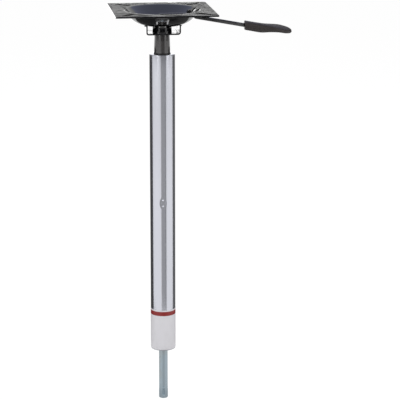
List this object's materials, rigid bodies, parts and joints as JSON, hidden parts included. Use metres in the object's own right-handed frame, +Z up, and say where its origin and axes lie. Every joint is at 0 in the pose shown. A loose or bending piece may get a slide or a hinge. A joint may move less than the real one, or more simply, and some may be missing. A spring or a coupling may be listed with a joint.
{
  "type": "boat seat pedestal",
  "caption": "Height-adjusting boat seat pedestal: aluminium post with a drop-in deck pin, gas cylinder, square dished seat mount and a release lever.",
  "frame": {"origin": "on the post's axis, in the plane of the post's lower end, where the deck pin leaves it", "axes": "+Z up along the post, +X towards the release lever, -Y towards the front notch"},
  "size_m": [0.3199, 0.1778, 0.7244],
  "materials": {
    "satin_aluminium": "satin anodised",
    "zinc_steel": "zinc plated",
    "bearing_steel": "ground",
    "black_paint": "gloss black paint",
    "cylinder_paint": "satin black paint",
    "bushing_plastic": "smooth black",
    "grip_plastic": "soft black",
    "white_vinyl": "white vinyl with a red band",
    "seal_rubber": "matt"
  },
  "bodies": {
    "post": {"post_tube": "satin_aluminium", "guide_bushing": "bushing_plastic", "base_disc": "satin_aluminium", "bottom_plug": "satin_aluminium", "deck_pin": "zinc_steel", "wrap_label": "white_vinyl", "lower_race": "bearing_steel"},
    "bearing": {"ball_cage": "bushing_plastic", "bearing_balls": "bearing_steel"},
    "rod": {"upper_race": "bearing_steel", "piston_rod": "zinc_steel", "rod_clip": "zinc_steel", "bump_stop": "seal_rubber", "piston": "zinc_steel", "piston_ring": "seal_rubber", "piston_nut": "zinc_steel"},
    "carriage": {"gas_cylinder": "cylinder_paint", "inner_tube": "zinc_steel", "rod_guide": "zinc_steel", "rod_seal": "seal_rubber", "valve_body": "zinc_steel", "valve_seals": "seal_rubber", "taper_collar": "black_paint", "channel_bracket": "black_paint", "seat_plate": "black_paint", "lever_clevis": "black_paint", "pivot_pin": "zinc_steel", "pivot_clip": "zinc_steel"},
    "lever": {"lever_rod": "black_paint", "lever_grip": "grip_plastic"},
    "valve": {"valve_pin": "zinc_steel"}
  },
  "joints": [
    {"name": "seat_swivel", "type": "hinge", "parent": "post", "child": "rod", "pos_m": [0, 0, 0.295], "axis": [0, 0, 1], "continuous": true},
    {"name": "cage_turn", "type": "hinge", "parent": "post", "child": "bearing", "pos_m": [0, 0, 0.295], "axis": [0, 0, 1], "continuous": true},
    {"name": "seat_rise", "type": "slide", "parent": "rod", "child": "carriage", "axis": [0, 0, 1], "range_m": [0, 0.178]},
    {"name": "lever_lift", "type": "hinge", "parent": "carriage", "child": "lever", "pos_m": [0.046, 0, 0.6155], "axis": [0, -1, 0], "range_deg": [0, 4]},
    {"name": "valve_press", "type": "slide", "parent": "carriage", "child": "valve", "axis": [0, 0, -1], "range_m": [0, 0.0033], "stiffness_N_per_m": 300}
  ],
  "couplings": [
    {"joint": "cage_turn", "follows": "seat_swivel", "ratio": 0.5},
    {"joint": "valve_press", "follows": "lever_lift", "m_per_rad": 0.046}
  ]
}
